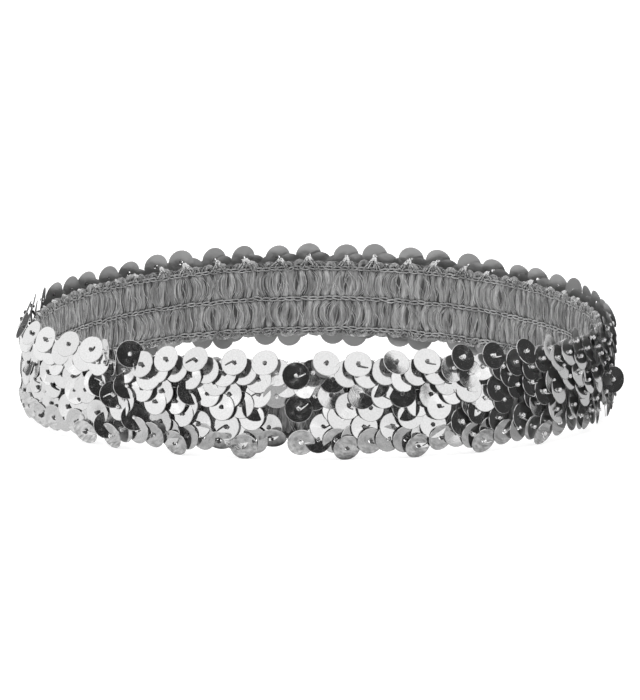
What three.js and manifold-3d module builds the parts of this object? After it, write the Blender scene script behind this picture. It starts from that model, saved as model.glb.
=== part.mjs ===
// A sequin headband: a closed loop of gathered elastic ribbon standing on its lower edge, with three
// zigzag strands of round sequins sewn along its outside. Millimetres, +Z up, the front towards -Y.
//
// The loop's line is the ribbon's inner face. Every other place is given by its part of the way around
// the loop (from 0 at the front, towards +X), its distance outwards from that line, and its height.

import * as THREE from "three";
import { mergeVertices } from "three/addons/utils/BufferGeometryUtils.js";
import Module from "manifold-3d";

const wasm = await Module();
wasm.setup();

// The loop's plan: two half ellipses that meet at the widest line, flatter in front than behind.
const HALF_WIDTH = 61.6;
const FRONT_DEPTH = 45.3;
const BACK_DEPTH = 73.0;

// The sequins, and the rows of stitches that hold them. Each is a twelve-sided disc with its first side
// uppermost, so that the next one along the zigzag lies beyond one of its slanting sides.
const SEQUIN_DIAMETER = 6.0;
const SEQUIN_THICKNESS = 0.8;
const SEQUIN_SIDES = 12;
const SEQUIN_OFFSET = 3.05;
const ROW_SPACING = 7.1;
const ZIGZAG_REPEATS = 39;

// How far a sequin's centre lies above or below its own row, and the sides of its outline that thread
// leads through, to the next sequin and back to the last. Sides count clockwise from the top one, 0.
const ZIGZAG_REACH = 1.6;
const THREADED_ABOVE = { onwards: 4, back: 8 };
const THREADED_BELOW = { onwards: 2, back: 10 };

// The lowest sequins hang further down, over the ribbon's lower edge, apart from those that are drawn up
// in the middle of the back.
const LOWEST_REACH = 3.1;
const DRAWN_UP_BACK = 0.1;

// How the sequins lean: like scales along the row, and over the ribbon's two edges.
const SCALE_TILT = THREE.MathUtils.degToRad(5);
const EDGE_LEAN = THREE.MathUtils.degToRad(25);
const INNER_LEAN = THREE.MathUtils.degToRad(8);
const FLAT_TRIMMED_OFF = 0.25;

// The elastic ribbon, seen in section: two puffy channels of cross yarns between three stitch lines.
const RIBBON_THICKNESS = 1.5;
const RIBBON_BEYOND_ROWS = 1.75;
const STITCH_GROOVE = 0.5;
const EDGE_ROUNDING = 0.7;
const GATHER_DEPTH = 0.25;
const PICOT_DEPTH = 0.6;
const RIBBON_STEPS = 208;

const SEQUIN_RADIUS = SEQUIN_DIAMETER / 2;
const SEQUINS_IN_A_STRAND = 2 * ZIGZAG_REPEATS;
const LOWEST_SEQUIN_HALF = SEQUIN_RADIUS * Math.cos(Math.PI / SEQUIN_SIDES) * Math.cos(EDGE_LEAN);
const BOTTOM_ROW = LOWEST_SEQUIN_HALF + LOWEST_REACH - FLAT_TRIMMED_OFF;
const MIDDLE_ROW = BOTTOM_ROW + ROW_SPACING;
const TOP_ROW = MIDDLE_ROW + ROW_SPACING;

// Where along the loop the sequins change the way they overlap. A side of 1 turns their faces the way
// the loop runs, and -1 turns them back.
const OVERLAPS = [
  { from: -0.5, side: 1 },
  { from: -0.125, side: -1 },
  { from: -0.0115, side: 1 },
];
const OVERLAP_BLEND = 0.012;

const fabric = new THREE.MeshStandardMaterial({ color: 0x777777, roughness: 0.95, metalness: 0 });
const foil = new THREE.MeshStandardMaterial({ color: 0xc9c9c9, roughness: 0.25, metalness: 0.9 });

/** The ribbon's inner face, seen from above, at equal steps of its own length. */
class LoopLine extends THREE.Curve {
  constructor() {
    super();
    this.arcLengthDivisions = 2000;
  }

  getPoint(t, target = new THREE.Vector3()) {
    const turn = 2 * Math.PI * t;
    const depth = Math.cos(turn) > 0 ? FRONT_DEPTH : BACK_DEPTH;
    return target.set(HALF_WIDTH * Math.sin(turn), -depth * Math.cos(turn), 0);
  }
}

const loopLine = new LoopLine();

/** The point and the directions at a part of the way around: along the loop, outwards, and down. */
function placeOnLoop(way) {
  const share = THREE.MathUtils.euclideanModulo(way, 1);
  const point = loopLine.getPointAt(share);
  const along = loopLine.getTangentAt(share).setZ(0).normalize();
  const outwards = new THREE.Vector3(along.y, -along.x, 0);
  return { point, along, outwards, down: new THREE.Vector3(0, 0, -1) };
}

/** A closed ring whose section at each step is a list of points with an offset outwards and a height. */
function ringGeometry(steps, sectionAt) {
  const positions = [];
  const faces = [];
  const corners = sectionAt(0).length;
  for (let step = 0; step < steps; step += 1) {
    const { point, outwards } = placeOnLoop(step / steps);
    for (const { offset, height } of sectionAt(step)) {
      positions.push(point.x + outwards.x * offset, point.y + outwards.y * offset, height);
    }
  }
  for (let step = 0; step < steps; step += 1) {
    const here = step * corners;
    const next = ((step + 1) % steps) * corners;
    for (let corner = 0; corner < corners; corner += 1) {
      const after = (corner + 1) % corners;
      faces.push(here + corner, next + corner, next + after);
      faces.push(here + corner, next + after, here + after);
    }
  }
  const geometry = new THREE.BufferGeometry();
  geometry.setAttribute("position", new THREE.Float32BufferAttribute(positions, 3));
  geometry.setIndex(faces);
  return geometry;
}

/** The gathered ribbon: every other step dips between two cross yarns, and between two edge loops. */
function ribbonGeometry() {
  const low = BOTTOM_ROW - RIBBON_BEYOND_ROWS;
  const high = TOP_ROW + RIBBON_BEYOND_ROWS;
  const between = ROW_SPACING / 2;
  return ringGeometry(RIBBON_STEPS, (step) => {
    const dip = step % 2;
    const yarn = dip * GATHER_DEPTH;
    const loop = dip * PICOT_DEPTH;
    return [
      { offset: EDGE_ROUNDING, height: low + loop },
      { offset: RIBBON_THICKNESS, height: low + EDGE_ROUNDING + loop },
      { offset: RIBBON_THICKNESS, height: high - EDGE_ROUNDING - loop },
      { offset: EDGE_ROUNDING, height: high - loop },
      { offset: STITCH_GROOVE, height: TOP_ROW },
      { offset: yarn, height: TOP_ROW - between },
      { offset: STITCH_GROOVE, height: MIDDLE_ROW },
      { offset: yarn, height: BOTTOM_ROW + between },
      { offset: STITCH_GROOVE, height: BOTTOM_ROW },
    ];
  });
}

/** How strongly, and to which side, the sequins overlap at a part of the way around. */
function overlapAt(way) {
  const share = way > 0.5 ? way - 1 : way;
  let side = OVERLAPS[0].side;
  for (const zone of OVERLAPS.slice(1)) {
    const passed = THREE.MathUtils.smoothstep(
      share, zone.from - OVERLAP_BLEND, zone.from + OVERLAP_BLEND);
    side = THREE.MathUtils.lerp(side, zone.side, passed);
  }
  return side;
}

/** The corners of a sequin's outer face, clockwise from the start of its top side, and then the inner's. */
function sequinCorners(way, height, lean) {
  const { point, along, outwards, down } = placeOnLoop(way);
  const centre = point.clone().addScaledVector(outwards, SEQUIN_OFFSET).setZ(height);
  const turn = new THREE.Euler(-lean, 0, -SCALE_TILT * overlapAt(way), "ZXY");
  const place = new THREE.Matrix4().makeBasis(along, outwards, down).setPosition(centre);
  place.multiply(new THREE.Matrix4().makeRotationFromEuler(turn));
  const corners = [];
  for (const face of [SEQUIN_THICKNESS / 2, -SEQUIN_THICKNESS / 2]) {
    for (let corner = 0; corner < SEQUIN_SIDES; corner += 1) {
      const angle = (2 * Math.PI * (corner - 0.5)) / SEQUIN_SIDES;
      const x = SEQUIN_RADIUS * Math.sin(angle);
      const z = -SEQUIN_RADIUS * Math.cos(angle);
      corners.push(new THREE.Vector3(x, face, z).applyMatrix4(place));
    }
  }
  return corners;
}

/** The faces of one disc, without the two sides where thread leads on to its neighbours. */
function discFaces(first, openSides) {
  const faces = [];
  const inner = first + SEQUIN_SIDES;
  for (let corner = 0; corner < SEQUIN_SIDES; corner += 1) {
    const after = (corner + 1) % SEQUIN_SIDES;
    if (corner > 0 && after > 0) {
      faces.push(first, first + after, first + corner);
      faces.push(inner, inner + corner, inner + after);
    }
    if (!openSides.includes(corner)) {
      faces.push(first + corner, first + after, inner + after);
      faces.push(first + corner, inner + after, inner + corner);
    }
  }
  return faces;
}

/** The four corners of one side of a disc, in order around it. */
function sideCorners(first, side) {
  const after = (side + 1) % SEQUIN_SIDES;
  const inner = first + SEQUIN_SIDES;
  return [first + side, first + after, inner + after, inner + side];
}

/** The short web of thread between one disc's open side and the next disc's. */
function threadFaces(first, side, next, nextSide) {
  const here = sideCorners(first, side);
  const [lower, upper, innerUpper, innerLower] = sideCorners(next, nextSide);
  const there = [upper, lower, innerLower, innerUpper];
  const faces = [];
  for (let edge = 0; edge < here.length; edge += 1) {
    const after = (edge + 1) % here.length;
    faces.push(here[edge], here[after], there[after]);
    faces.push(here[edge], there[after], there[edge]);
  }
  return faces;
}

/** How a sequin leans: over the edge at the ribbon's two edges, and only a little elsewhere. */
function leanOf(row, side) {
  const rowSide = Math.sign(row - MIDDLE_ROW);
  return rowSide === side ? EDGE_LEAN * side : INNER_LEAN * rowSide;
}

/** How far a sequin's centre lies from its row. */
function reachOf(row, side, way) {
  const hangs = row === BOTTOM_ROW && side < 0 && Math.abs(way - 0.5) > DRAWN_UP_BACK;
  return hangs ? LOWEST_REACH : ZIGZAG_REACH;
}

/** A strand: sequins above and below the row in turn, threaded into one ring. */
function threadedSequins(row) {
  const corners = [];
  const faces = [];
  for (let number = 0; number < SEQUINS_IN_A_STRAND; number += 1) {
    const side = number % 2 === 0 ? 1 : -1;
    const [here, there] = side > 0 ? [THREADED_ABOVE, THREADED_BELOW] : [THREADED_BELOW, THREADED_ABOVE];
    const first = number * 2 * SEQUIN_SIDES;
    const next = ((number + 1) % SEQUINS_IN_A_STRAND) * 2 * SEQUIN_SIDES;
    const way = number / SEQUINS_IN_A_STRAND;
    const height = row + side * reachOf(row, side, way);
    corners.push(...sequinCorners(way, height, leanOf(row, side)));
    faces.push(...discFaces(first, [here.onwards, here.back]));
    faces.push(...threadFaces(first, here.onwards, next, there.back));
  }
  const geometry = new THREE.BufferGeometry().setFromPoints(corners);
  geometry.setIndex(faces);
  return geometry;
}

/** A closed geometry as a solid that can be joined and cut. */
function toSolid(geometry) {
  const bare = geometry.clone();
  bare.deleteAttribute("normal");
  bare.deleteAttribute("uv");
  const merged = mergeVertices(bare, 1e-4);
  return new wasm.Manifold(new wasm.Mesh({
    numProp: 3,
    vertProperties: new Float32Array(merged.attributes.position.array),
    triVerts: new Uint32Array(merged.index.array),
  }));
}

/** A solid as a geometry again. */
function toGeometry(solid) {
  const { vertProperties, triVerts } = solid.getMesh();
  const geometry = new THREE.BufferGeometry();
  geometry.setAttribute("position", new THREE.BufferAttribute(vertProperties, 3));
  geometry.setIndex(new THREE.BufferAttribute(triVerts, 1));
  geometry.computeVertexNormals();
  return geometry;
}

/** One strand as one body, trimmed level where it stands on the floor. */
function strandGeometry(row) {
  const room = 4 * BACK_DEPTH;
  const floor = new THREE.BoxGeometry(room, room, SEQUIN_DIAMETER);
  floor.translate(0, 0, -SEQUIN_DIAMETER / 2);
  return toGeometry(toSolid(threadedSequins(row)).subtract(toSolid(floor)));
}

function addPiece(group, name, geometry, material) {
  const mesh = new THREE.Mesh(geometry, material);
  mesh.name = name;
  group.add(mesh);
}

const headband = new THREE.Group();
addPiece(headband, "elastic_ribbon", ribbonGeometry(), fabric);
addPiece(headband, "sequin_strand_top", strandGeometry(TOP_ROW), foil);
addPiece(headband, "sequin_strand_mid", strandGeometry(MIDDLE_ROW), foil);
addPiece(headband, "sequin_strand_bottom", strandGeometry(BOTTOM_ROW), foil);

// The loop stands with the middle of its whole outline over the origin.
const outline = new THREE.Box3().setFromObject(headband);
const middle = outline.getCenter(new THREE.Vector3());
headband.position.set(-middle.x, -middle.y, 0);

export default headband;
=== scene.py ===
"""A sequin headband: a gathered elastic ribbon that carries three zigzag strands of round sequins.

Sizes are in millimetres along the loop's own line, and go into the meshes in metres. A place is given
by its part of the way around the loop (0 at the front, rising to the right), its distance outwards
from the ribbon's inner face, and its height. Each copied shape is drawn with x outwards, y along the
loop and z up, and is put in its places by Geometry Nodes.
"""

import logging
import math
from collections.abc import Iterable, Sequence
from dataclasses import dataclass, field, fields
from enum import Enum
from functools import cached_property

import bpy
import numpy as np
from mathutils import Matrix, Vector


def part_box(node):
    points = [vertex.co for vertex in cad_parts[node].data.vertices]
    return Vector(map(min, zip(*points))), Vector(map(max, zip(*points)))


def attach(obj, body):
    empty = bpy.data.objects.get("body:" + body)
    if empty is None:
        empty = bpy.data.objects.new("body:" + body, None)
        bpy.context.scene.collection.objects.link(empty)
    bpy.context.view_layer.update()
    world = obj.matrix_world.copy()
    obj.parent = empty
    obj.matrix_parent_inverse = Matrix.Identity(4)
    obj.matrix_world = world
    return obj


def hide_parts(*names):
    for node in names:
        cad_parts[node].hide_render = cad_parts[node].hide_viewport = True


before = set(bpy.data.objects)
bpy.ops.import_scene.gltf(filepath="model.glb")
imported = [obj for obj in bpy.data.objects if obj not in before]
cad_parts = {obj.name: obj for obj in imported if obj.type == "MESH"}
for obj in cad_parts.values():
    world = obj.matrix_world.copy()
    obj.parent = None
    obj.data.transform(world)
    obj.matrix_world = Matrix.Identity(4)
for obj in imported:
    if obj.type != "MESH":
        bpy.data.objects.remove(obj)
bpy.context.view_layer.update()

MM = 0.001
BODY = "root"
RIBBON_NODE = "elastic_ribbon"
RIBBON_THICKNESS = 1.5
BEYOND_ROWS = 1.75
FRONT_SHARE = 0.383

Numbers = np.ndarray | float
Object = bpy.types.Object
Material = bpy.types.Material
Socket = bpy.types.NodeSocket
Inputs = dict[str | int, object]
Point = tuple[float, float]

log = logging.getLogger("headband")


class Slot(Enum):
    """Two material slot names, for the ribbon and the sequins."""

    RIBBON = "ribbon"
    SEQUINS = "sequins"


@dataclass(frozen=True)
class Ramp:
    """A smooth rise from 0 at one value to 1 at another, which may be the lower one."""

    start: float
    end: float

    def __call__(self, value: Numbers) -> np.ndarray:
        """How far up the rise each value is."""
        share = np.clip((value - self.start) / (self.end - self.start), 0, 1)
        return share * share * (3 - 2 * share)


@dataclass(frozen=True)
class Places:
    """Points on the loop's line, with the two level directions at each."""

    points: np.ndarray
    along: np.ndarray
    outward: np.ndarray

    def stand(self, offset: Numbers, height: Numbers) -> np.ndarray:
        """Points off the line.

        Args:
            offset: How far outwards from the ribbon's inner face.
            height: How far above the floor.

        Returns:
            One point for each place, in millimetres.
        """
        reach = np.broadcast_to(offset, len(self.points))[:, None]
        level = self.points + self.outward * reach
        return np.column_stack([level, np.broadcast_to(height, len(self.points))])

    def turns(self, tilt: Numbers = 0.0, lean: Numbers = 0.0, roll: Numbers = 0.0) -> np.ndarray:
        """The turn that stands a copied shape at each place.

        Args:
            tilt: Turns the shape's face the way the loop runs, in radians.
            lean: Turns its face upwards.
            roll: Turns it about its own face's direction.

        Returns:
            Euler angles, one row for each place.
        """
        count = len(self.points)
        made = np.zeros((count, 3))
        tilts, leans, rolls = (np.broadcast_to(v, count) for v in (tilt, lean, roll))
        for i in range(count):
            out, way = self.outward[i], self.along[i]
            base = Matrix(((out[0], way[0], 0), (out[1], way[1], 0), (0, 0, 1)))
            tilted = base @ Matrix.Rotation(tilts[i], 3, "Z")
            leant = tilted @ Matrix.Rotation(-leans[i], 3, "Y")
            made[i] = (leant @ Matrix.Rotation(rolls[i], 3, "X")).to_euler("XYZ")
        return made


@dataclass(frozen=True)
class LoopPlan:
    """The ribbon's inner face seen from above: two half ellipses that meet at the widest line."""

    half_width: float
    front_depth: float
    back_depth: float
    middle_x: float
    widest_y: float
    steps: int = 7200

    @classmethod
    def from_ribbon(cls, low: Vector, high: Vector) -> "LoopPlan":
        """Finds the line from the box of the ribbon's node.

        Args:
            low: The box's lowest corner, in metres.
            high: Its highest corner.

        Returns:
            The plan in millimetres.
        """
        depth = (high.y - low.y) / MM - 2 * RIBBON_THICKNESS
        front = FRONT_SHARE * depth
        return cls(
            half_width=(high.x - low.x) / MM / 2 - RIBBON_THICKNESS,
            front_depth=front,
            back_depth=depth - front,
            middle_x=(high.x + low.x) / MM / 2,
            widest_y=low.y / MM + RIBBON_THICKNESS + front,
        )

    def _depths(self, turns: np.ndarray) -> np.ndarray:
        """The half ellipse's depth at each angle."""
        return np.where(np.cos(turns) > 0, self.front_depth, self.back_depth)

    @cached_property
    def measured(self) -> tuple[np.ndarray, np.ndarray]:
        """The line's length, measured out.

        Returns:
            Angles around the plan, and the length up to each.
        """
        turns = np.linspace(0, 2 * math.pi, self.steps + 1)
        x = self.half_width * np.sin(turns)
        y = -self._depths(turns) * np.cos(turns)
        lengths = np.concatenate([[0.0], np.cumsum(np.hypot(np.diff(x), np.diff(y)))])
        return turns, lengths

    @property
    def length(self) -> float:
        """The whole line's length."""
        return float(self.measured[1][-1])

    def places(self, ways: np.ndarray) -> Places:
        """The places at parts of the way around.

        Args:
            ways: Parts of the way, where whole turns don't matter.

        Returns:
            Their points and directions.
        """
        angles, lengths = self.measured
        turns = np.interp(np.mod(ways, 1.0) * self.length, lengths, angles)
        depths = self._depths(turns)
        x = self.middle_x + self.half_width * np.sin(turns)
        y = self.widest_y - depths * np.cos(turns)
        along = np.column_stack([self.half_width * np.cos(turns), depths * np.sin(turns)])
        along /= np.linalg.norm(along, axis=1, keepdims=True)
        outward = np.column_stack([along[:, 1], -along[:, 0]])
        return Places(np.column_stack([x, y]), along, outward)

    def ways_of(self, points: np.ndarray) -> np.ndarray:
        """Where along the loop points beside the line stand.

        Args:
            points: Points in millimetres.

        Returns:
            Parts of the way around, from -0.5 to 0.5.
        """
        spots = points[:, :2] - np.array([self.middle_x, self.widest_y])
        depth = np.where(spots[:, 1] < 0, self.front_depth, self.back_depth)
        angle = np.arctan2(spots[:, 0] / self.half_width, -spots[:, 1] / depth)
        return centred(np.interp(np.mod(angle, 2 * math.pi), *self.measured) / self.length)


def centred(ways: np.ndarray) -> np.ndarray:
    """Parts of the way around, brought between -0.5 and 0.5."""
    return np.mod(ways + 0.5, 1.0) - 0.5


def link_object(name: str, data: bpy.types.ID) -> Object:
    """Makes an object of its data.

    Args:
        name: The object's name.
        data: Its mesh, lamp or camera.

    Returns:
        The object, linked to the scene.
    """
    made = bpy.data.objects.new(name, data)
    bpy.context.scene.collection.objects.link(made)
    return made


def write_layer(
    mesh: bpy.types.Mesh, name: str, values: Sequence[float], kind: str = "FLOAT", domain: str = "POINT"
) -> None:
    """Writes a named attribute of a mesh.

    Args:
        mesh: The mesh.
        name: The attribute's name.
        values: Its values, one or one row for each point or face.
        kind: Its type.
        domain: What it belongs to.
    """
    layer = mesh.attributes.new(name, kind, domain)
    number = np.int32 if kind == "INT" else np.float32
    key = "vector" if kind == "FLOAT_VECTOR" else "value"
    layer.data.foreach_set(key, np.asarray(values, number).ravel())


@dataclass
class Shape:
    """Vertices in millimetres and faces, before they become a mesh.

    The sharp pairs are edges. The backing says how far each face is the film's back, and the painted
    shade layer how far each vertex is painted darker, as shade between its neighbours or away from a light
    crown.
    """

    vertices: np.ndarray
    faces: list[tuple[int, ...]]
    sharp: list[tuple[int, int]] = field(default_factory=list)
    backing: Sequence[float] = ()
    crevice: list[float] = field(default_factory=list)

    def as_object(self, name: str) -> Object:
        """Makes the object, smoothly shaded.

        Args:
            name: The object's name.

        Returns:
            The object, linked to the scene, at the origin.
        """
        mesh = bpy.data.meshes.new(name)
        mesh.from_pydata((self.vertices * MM).tolist(), [], self.faces)
        mesh.shade_smooth()
        if self.sharp:
            sharp = {tuple(sorted(pair)) for pair in self.sharp}
            for edge in mesh.edges:
                edge.use_edge_sharp = tuple(sorted(edge.vertices)) in sharp
        if len(self.backing):
            write_layer(mesh, "backing", self.backing, domain="FACE")
        if self.crevice:
            write_layer(mesh, "crevice", self.crevice)
        mesh.update()
        return link_object(name, mesh)

    def beside(self, other: "Shape") -> "Shape":
        """This shape and another as one.

        Args:
            other: The other shape.

        Returns:
            Both together, without sharp edges or a backing.
        """
        count = len(self.vertices)
        faces = self.faces + [tuple(index + count for index in face) for face in other.faces]
        vertices = np.concatenate([self.vertices, other.vertices])
        return Shape(vertices, faces, crevice=self.crevice + other.crevice)


def circle(sides: int) -> np.ndarray:
    """Angles at equal steps around a circle."""
    return 2 * math.pi * np.arange(sides) / sides


def quads_between(pairs: Iterable[tuple[int, int]], sides: int) -> list[tuple[int, ...]]:
    """Faces between rings of vertices that are numbered one ring after another.

    Args:
        pairs: The numbers of the two rings that each band of faces joins.
        sides: How many vertices each ring has.

    Returns:
        The faces, each with two corners on its first ring and then two on its second.
    """
    faces = []
    for first, second in pairs:
        for side in range(sides):
            after = (side + 1) % sides
            a, b = first * sides + side, first * sides + after
            faces.append((a, b, second * sides + after, second * sides + side))
    return faces


def turned_over(quads: list[tuple[int, ...]]) -> list[tuple[int, ...]]:
    """The same four-cornered faces, facing the other way."""
    return [(a, d, c, b) for a, b, c, d in quads]


def tube_along(path: Sequence[Sequence[float]], radii: Sequence[tuple[float, float]], sides: int) -> Shape:
    """A closed tube with capped ends.

    Args:
        path: The points it follows.
        radii: At each point, its half size across the outward direction and along it.
        sides: How many sides its section has.

    Returns:
        The tube's shape.
    """
    line = np.array(path, float)
    runs = np.gradient(line, axis=0)
    runs /= np.linalg.norm(runs, axis=1, keepdims=True)
    across = np.cross(runs[0], (1.0, 0.0, 0.0))
    if np.linalg.norm(across) < 1e-3:
        across = np.cross(runs[0], (0.0, 1.0, 0.0))
    rings = []
    angles = circle(sides)
    for point, run, (wide, thick) in zip(line, runs, radii):
        across = across - run * float(across @ run)
        across /= np.linalg.norm(across)
        up = np.cross(run, across)
        rings.append(point + np.outer(np.cos(angles) * wide, across) + np.outer(np.sin(angles) * thick, up))
    start = tuple(reversed(range(sides)))
    end = tuple(range((len(line) - 1) * sides, len(line) * sides))
    wall = quads_between(((step, step + 1) for step in range(len(line) - 1)), sides)
    return Shape(np.concatenate(rings), [start, *wall, end])


@dataclass
class Copies:
    """The places of a shape's copies: for each a point in millimetres, and Euler angles.

    A tone says how light a copy is, about 1. A size is one number, or three for its own directions. A
    variant is the number of its shape. Each may be given once for all the copies.
    """

    points: np.ndarray
    turns: np.ndarray
    tones: Numbers = 1.0
    sizes: Numbers = 1.0
    variants: np.ndarray | int = 0

    def __post_init__(self) -> None:
        """Gives each copy its own row of every property."""
        count = len(self.points)
        sizes = np.asarray(self.sizes, float)
        if sizes.ndim == 1:
            sizes = np.repeat(sizes[:, None], 3, axis=1)
        self.sizes = np.broadcast_to(sizes, (count, 3))
        self.tones = np.broadcast_to(self.tones, count)
        self.variants = np.broadcast_to(self.variants, count)

    @classmethod
    def joined(cls, parts: Sequence["Copies"]) -> "Copies":
        """Several sets of copies as one."""
        return cls(*(np.concatenate([getattr(part, one.name) for part in parts]) for one in fields(cls)))

    def as_object(self, name: str) -> Object:
        """Loose points with an attribute for each property.

        Args:
            name: The object's name.

        Returns:
            The object that the repeater works on.
        """
        mesh = bpy.data.meshes.new(name)
        mesh.from_pydata((self.points * MM).tolist(), [], [])
        write_layer(mesh, "turn", self.turns, "FLOAT_VECTOR")
        write_layer(mesh, "size", self.sizes, "FLOAT_VECTOR")
        write_layer(mesh, "tone", self.tones)
        write_layer(mesh, "variant", self.variants, "INT")
        return link_object(name, mesh)


class Nodes:
    """A node tree, with short ways to add nodes and feed their inputs."""

    def __init__(self, tree: bpy.types.NodeTree) -> None:
        """Takes the tree."""
        self.tree = tree

    def feed(self, node: bpy.types.Node, inputs: Inputs) -> None:
        """Feeds a node's inputs.

        Args:
            node: The node.
            inputs: By an input's name or number, the socket to link to it, or the value to give it.
        """
        for key, value in inputs.items():
            if isinstance(value, Socket):
                self.tree.links.new(value, node.inputs[key])
            else:
                node.inputs[key].default_value = value

    def add(self, kind: str, inputs: Inputs | None = None, **settings: object) -> bpy.types.Node:
        """Adds a node.

        Args:
            kind: The node's type.
            inputs: What feeds its inputs.
            settings: Its own properties, which are set first.

        Returns:
            The node.
        """
        node = self.tree.nodes.new(kind)
        for key, value in settings.items():
            setattr(node, key, value)
        self.feed(node, inputs or {})
        return node


@dataclass(frozen=True)
class Repeater:
    """Puts shapes at points by Geometry Nodes and keeps the result as a plain mesh.

    Each copy may turn about its own face's direction, by a seeded share of the roll in radians.
    """

    shapes: Sequence[Shape]
    roll: float = 0.0
    seed: int = 1

    @staticmethod
    def _named(nodes: Nodes, name: str, kind: str) -> Socket:
        """The output of a node that reads a named attribute."""
        node = nodes.add("GeometryNodeInputNamedAttribute", {"Name": name}, data_type=kind)
        return node.outputs["Attribute"]

    def _turned(self, nodes: Nodes, given: bpy.types.bpy_prop_collection) -> Socket:
        """Each copy's turn, with its own share of the roll.

        Args:
            nodes: The tree.
            given: The outputs of its input node.

        Returns:
            The turn's socket.
        """
        limits = {2: -1.0, 3: 1.0}
        chance = nodes.add("FunctionNodeRandomValue", limits | {"Seed": given["Seed"]}, data_type="FLOAT")
        share = nodes.add("ShaderNodeMath", {0: chance.outputs[1], 1: given["Roll"]}, operation="MULTIPLY")
        facing = {"Axis": (1.0, 0.0, 0.0), "Angle": share.outputs["Value"]}
        roll = nodes.add("FunctionNodeAxisAngleToRotation", facing)
        turn = self._named(nodes, "turn", "FLOAT_VECTOR")
        stand = nodes.add("FunctionNodeEulerToRotation", {"Euler": turn})
        both = {"Rotation": stand.outputs["Rotation"], "Rotate By": roll.outputs["Rotation"]}
        return nodes.add("FunctionNodeRotateRotation", both, rotation_space="LOCAL").outputs["Rotation"]

    def _tree(self, name: str) -> bpy.types.NodeTree:
        """Builds the node tree, with the shapes, the finish, the size, the roll and the seed as inputs.

        Args:
            name: The tree's name.

        Returns:
            The tree.
        """
        tree = bpy.data.node_groups.new(name, "GeometryNodeTree")
        inputs = {"Points": "Geometry"} | {f"Shape {n}": "Object" for n in range(len(self.shapes))}
        inputs |= {"Finish": "Material", "Size": "Float", "Roll": "Float", "Seed": "Int"}
        for title, kind in inputs.items():
            tree.interface.new_socket(title, in_out="INPUT", socket_type=f"NodeSocket{kind}")
        tree.interface.new_socket("Geometry", in_out="OUTPUT", socket_type="NodeSocketGeometry")
        nodes = Nodes(tree)
        given = nodes.add("NodeGroupInput").outputs
        shapes = nodes.add("GeometryNodeJoinGeometry")
        for number in reversed(range(len(self.shapes))):
            source = {"Object": given[f"Shape {number}"], "As Instance": True}
            shape = nodes.add("GeometryNodeObjectInfo", source)
            nodes.feed(shapes, {"Geometry": shape.outputs["Geometry"]})
        sizes = {0: self._named(nodes, "size", "FLOAT_VECTOR"), "Scale": given["Size"]}
        grown = nodes.add("ShaderNodeVectorMath", sizes, operation="SCALE")
        placing = {
            "Points": given["Points"],
            "Instance": shapes.outputs["Geometry"],
            "Pick Instance": True,
            "Instance Index": self._named(nodes, "variant", "INT"),
            "Rotation": self._turned(nodes, given),
            "Scale": grown.outputs["Vector"],
        }
        placed = nodes.add("GeometryNodeInstanceOnPoints", placing)
        real = nodes.add("GeometryNodeRealizeInstances", {"Geometry": placed.outputs["Instances"]})
        dressing = {"Geometry": real.outputs["Geometry"], "Material": given["Finish"]}
        dressed = nodes.add("GeometryNodeSetMaterial", dressing)
        nodes.add("NodeGroupOutput", {"Geometry": dressed.outputs["Geometry"]})
        return tree

    def make(self, name: str, copies: Copies, finish: Material) -> Object:
        """Makes one piece of all the copies.

        Args:
            name: The piece's name.
            copies: Where the copies go.
            finish: The material they all take.

        Returns:
            The piece, a plain mesh at the origin.
        """
        patterns = [shape.as_object(f"{name}_pattern_{n}") for n, shape in enumerate(self.shapes)]
        points = copies.as_object(f"{name}_points")
        tree = self._tree(f"{name}_repeat")
        values = {f"Shape {n}": pattern for n, pattern in enumerate(patterns)}
        values |= {"Finish": finish, "Size": 1.0, "Roll": self.roll, "Seed": self.seed}
        modifier = points.modifiers.new("Repeat", "NODES")
        modifier.node_group = tree
        for item in tree.interface.items_tree:
            if item.item_type == "SOCKET" and item.name in values:
                modifier[item.identifier] = values[item.name]
        points.update_tag()
        depsgraph = bpy.context.evaluated_depsgraph_get()
        mesh = bpy.data.meshes.new_from_object(
            points.evaluated_get(depsgraph), preserve_all_data_layers=True, depsgraph=depsgraph
        )
        mesh.name = name
        made = link_object(name, mesh)
        for spent in [points, *patterns]:
            bpy.data.objects.remove(spent)
        bpy.data.node_groups.remove(tree)
        return made


class Wiring(Nodes):
    """A material's node tree around its Principled shader."""

    def __init__(self, name: str) -> None:
        """Starts a material.

        Args:
            name: The material's name.
        """
        self.material = bpy.data.materials.new(name)
        self.material.use_nodes = True
        super().__init__(self.material.node_tree)
        self.shader = self.tree.nodes["Principled BSDF"]

    def finished(self, inputs: Inputs) -> Material:
        """Feeds the shader and gives the material."""
        self.feed(self.shader, inputs)
        return self.material

    def attribute(self, name: str) -> Socket:
        """The value of a named attribute of the piece."""
        return self.add("ShaderNodeAttribute", attribute_name=name).outputs["Fac"]

    def maths(self, operation: str, *values: Socket | float) -> Socket:
        """The result of a Math node."""
        return self.add("ShaderNodeMath", dict(enumerate(values)), operation=operation).outputs["Value"]

    def mixed(self, share: Socket | float, first: object, second: object, blend: str = "MIX") -> Socket:
        """A mix of two colours, each a socket or a colour, by the second one's share."""
        inputs = {0: share, 6: first, 7: second}
        return self.add("ShaderNodeMix", inputs, data_type="RGBA", blend_type=blend).outputs[2]

    def bump(self, height: Socket, strength: float, distance: float) -> Socket:
        """A normal from a height, where a height of 1 is the distance in millimetres."""
        inputs = {"Strength": strength, "Distance": distance * MM, "Height": height}
        return self.add("ShaderNodeBump", inputs).outputs["Normal"]

    def noise(
        self, per_metre: float, upright: float = 1.0, detail: float = 2.0, contrast: float = 1.0
    ) -> Socket:
        """The shared noise with its own values. Under 1, upright draws it out along the height."""
        inputs = {"Per metre": per_metre, "Upright": upright, "Detail": detail, "Contrast": contrast}
        return self.add("ShaderNodeGroup", inputs, node_tree=fine_noise()).outputs["Height"]


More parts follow.
